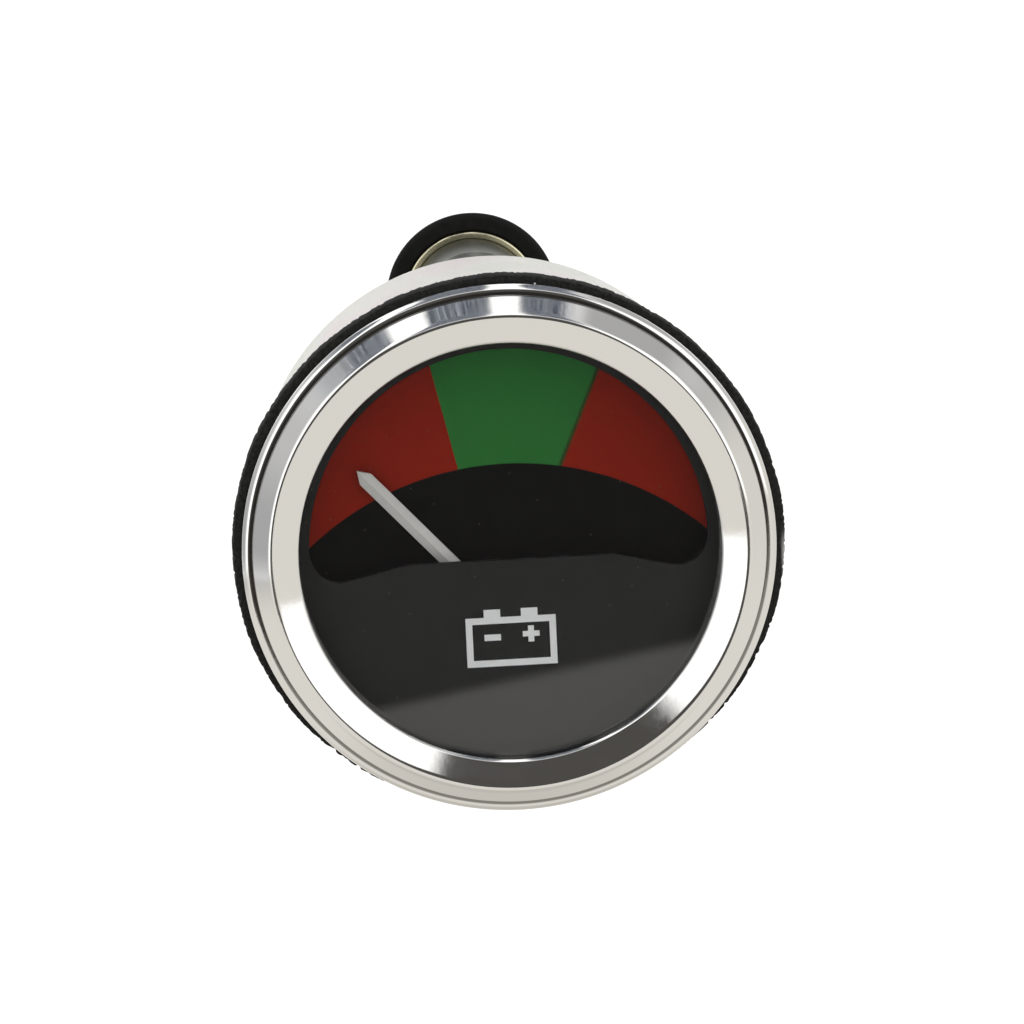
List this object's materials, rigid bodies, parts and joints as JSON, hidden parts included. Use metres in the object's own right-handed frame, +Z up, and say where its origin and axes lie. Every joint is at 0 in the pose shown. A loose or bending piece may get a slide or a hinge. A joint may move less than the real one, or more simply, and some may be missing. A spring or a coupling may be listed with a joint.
{
  "type": "panel battery gauge",
  "caption": "Round dash-panel battery-condition gauge with chrome bezel, coloured dial, swinging pointer, plated can, clamp bracket and push-in lamp holder.",
  "frame": {"origin": "centre of the rear face of the panel gasket, on the gauge's axis", "axes": "+Y along the gauge's axis to the rear, +Z up on the dial, +X to the right of the face"},
  "size_m": [0.0586, 0.0754, 0.0586],
  "materials": {
    "zinc_plated_steel": "passivated zinc plate",
    "chrome_plate": "bright chrome plate",
    "clear_glass": "clear float glass",
    "mask_plastic": "moulded satin black",
    "dial_enamel": "screen-printed satin enamel",
    "pointer_enamel": "pale satin enamel",
    "gasket_rubber": "sponge rubber",
    "moulded_rubber": "smooth black rubber",
    "bright_steel": "plain steel",
    "brass": "bare brass",
    "phenolic": "brown phenolic moulding"
  },
  "bodies": {
    "gauge": {"can": "zinc_plated_steel", "bezel": "chrome_plate", "lens_seal": "moulded_rubber", "lens": "clear_glass", "mask_plate": "mask_plastic", "dial_plate": "dial_enamel", "dial_screws": "bright_steel", "movement_frame": "bright_steel", "frame_pillars": "zinc_plated_steel", "pillar_nuts": "zinc_plated_steel", "bimetal_strip": "bright_steel", "heater_winding": "brass", "zero_adjuster": "bright_steel", "positive_terminal": "brass", "negative_terminal": "brass", "terminal_insulators": "phenolic", "clamp_stud": "zinc_plated_steel", "panel_gasket": "gasket_rubber"},
    "pointer": {"pointer": "pointer_enamel", "pointer_staff": "bright_steel", "crank_arm": "bright_steel"},
    "bracket": {"mounting_bracket": "zinc_plated_steel", "lock_washer": "zinc_plated_steel"},
    "thumb_nut": {"thumb_nut": "zinc_plated_steel"},
    "lamp_holder": {"lamp_sleeve": "zinc_plated_steel", "lamp_boot": "moulded_rubber", "bulb_base": "brass", "bulb_glass": "clear_glass", "lamp_contact": "brass", "contact_spring": "bright_steel", "lamp_insulator": "phenolic", "lamp_terminal": "brass"}
  },
  "joints": [
    {"name": "pointer_swing", "type": "hinge", "parent": "gauge", "child": "pointer", "pos_m": [0, 0.01, -0.0086], "axis": [0, 1, 0], "range_deg": [-2, 85], "stiffness_Nm_per_rad": 0.002},
    {"name": "bracket_slide", "type": "slide", "parent": "gauge", "child": "bracket", "axis": [0, 1, 0], "range_m": [0, 0.00601]},
    {"name": "nut_turn", "type": "hinge", "parent": "bracket", "child": "thumb_nut", "pos_m": [0, 0.042, 0], "axis": [0, 1, 0], "range_deg": [0, 2700]},
    {"name": "lamp_pull", "type": "slide", "parent": "gauge", "child": "lamp_holder", "axis": [0, 1, 0], "range_m": [0, 0.022]}
  ],
  "couplings": [
    {"joint": "bracket_slide", "follows": "nut_turn", "m_per_rad": 0.00012732}
  ]
}
